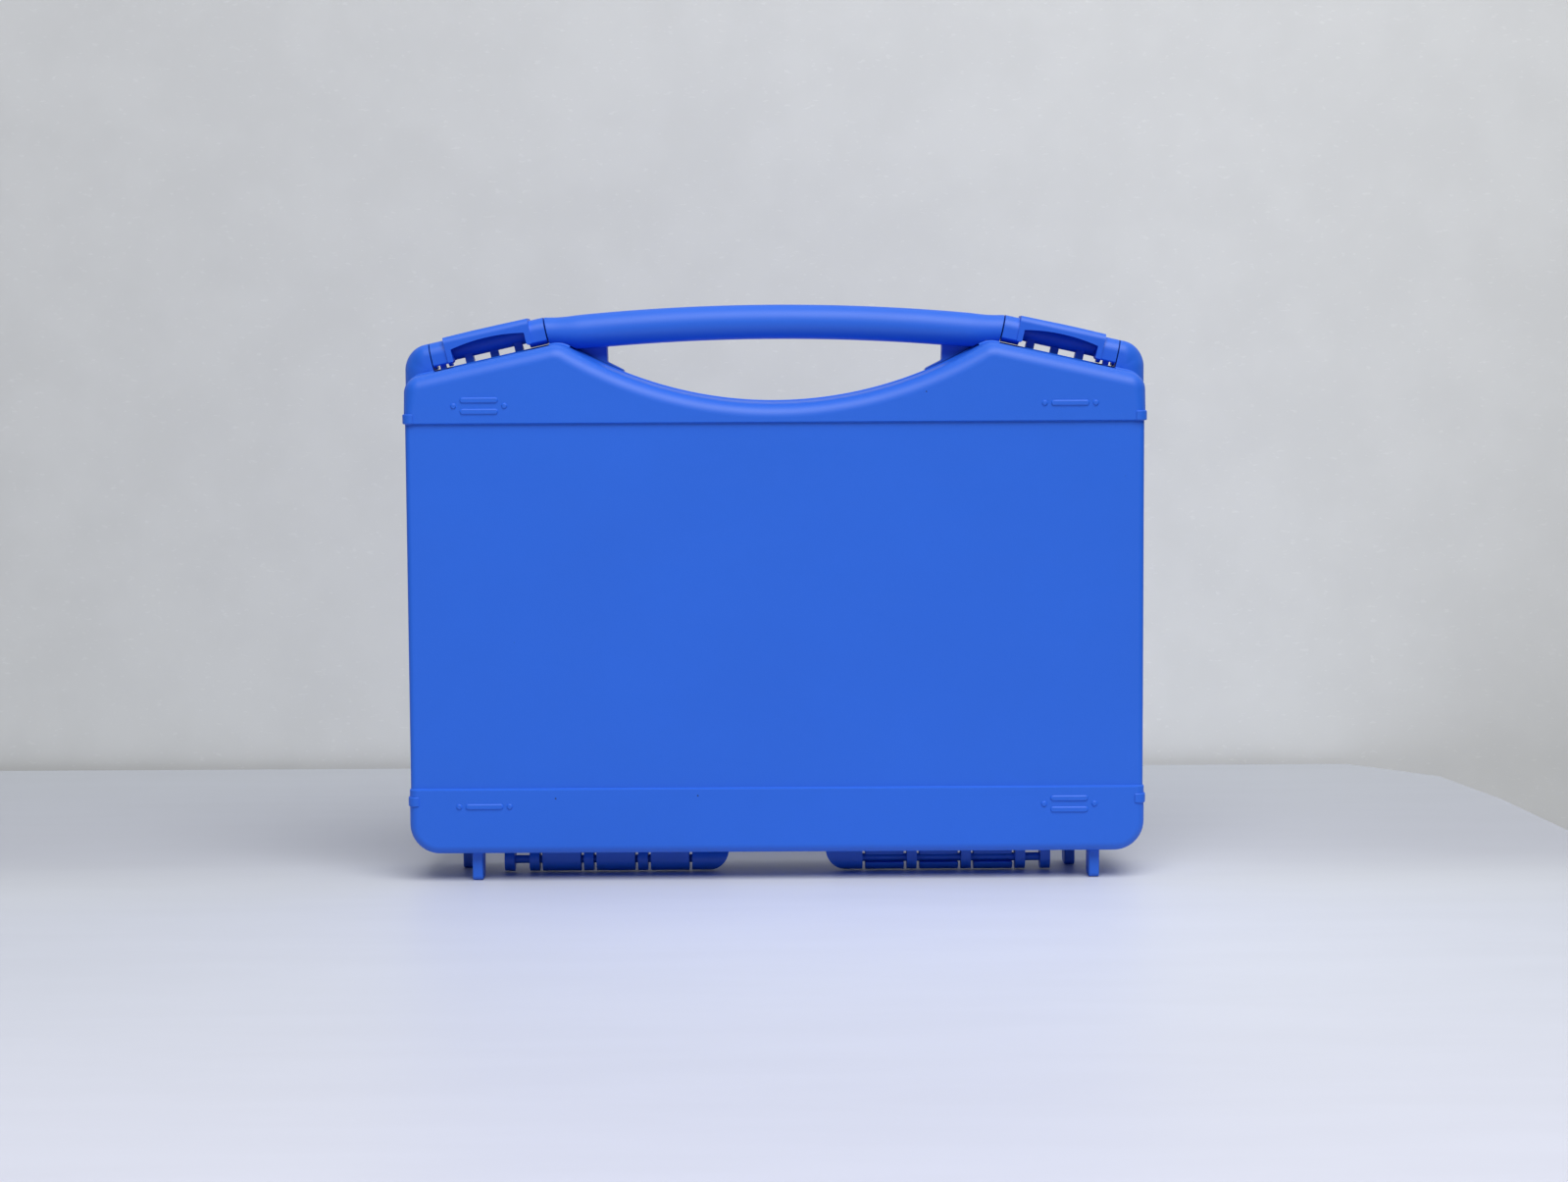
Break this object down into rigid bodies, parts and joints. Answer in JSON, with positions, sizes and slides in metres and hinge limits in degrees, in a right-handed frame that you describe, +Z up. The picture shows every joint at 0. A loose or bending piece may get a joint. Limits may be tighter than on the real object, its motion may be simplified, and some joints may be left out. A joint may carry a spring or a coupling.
{
  "type": "hard tool case",
  "caption": "Flat rectangular plastic carrying case: like halves on moulded hinge clips, a bow handle over a dipped rim, and turning latches on the handle's tilted bars.",
  "frame": {"origin": "on the floor under the feet, midway along the width, in the parting plane of the two halves", "axes": "+X along the width to the right as seen from the lid, +Y to the back (the lid is towards -Y), +Z up towards the grip"},
  "size_m": [0.3046, 0.053, 0.2355],
  "materials": {
    "case_plastic": "satin blue polypropylene with a very fine grain",
    "handle_plastic": "satin blue polypropylene, smoother than the panels",
    "latch_plastic": "satin blue polypropylene, smooth"
  },
  "bodies": {
    "base": {"base_shell": "case_plastic", "base_feet": "case_plastic", "base_hinge_rod": "case_plastic", "base_clip_inner": "case_plastic", "base_clip_middle": "case_plastic", "base_clip_outer": "case_plastic", "handle_grip": "handle_plastic", "handle_bar_left": "handle_plastic", "handle_bar_right": "handle_plastic", "handle_elbow_left": "handle_plastic", "handle_elbow_right": "handle_plastic"},
    "lid": {"lid_shell": "case_plastic", "lid_feet": "case_plastic", "lid_hinge_rod": "case_plastic", "lid_clip_inner": "case_plastic", "lid_clip_middle": "case_plastic", "lid_clip_outer": "case_plastic", "lid_catch_left": "case_plastic", "lid_catch_right": "case_plastic"},
    "latch_left": {"latch_left": "latch_plastic"},
    "latch_right": {"latch_right": "latch_plastic"}
  },
  "joints": [
    {"name": "lid_hinge", "type": "hinge", "parent": "base", "child": "lid", "pos_m": [0, 0, 0.0053], "axis": [1, 0, 0], "range_deg": [0, 180]},
    {"name": "latch_left_turn", "type": "hinge", "parent": "base", "child": "latch_left", "pos_m": [-0.11741, 0.0031, 0.22067], "axis": [-0.9759, 0, -0.2181], "range_deg": [0, 75]},
    {"name": "latch_right_turn", "type": "hinge", "parent": "base", "child": "latch_right", "pos_m": [0.11741, 0.0031, 0.22067], "axis": [-0.9759, 0, 0.2181], "range_deg": [0, 75]}
  ]
}
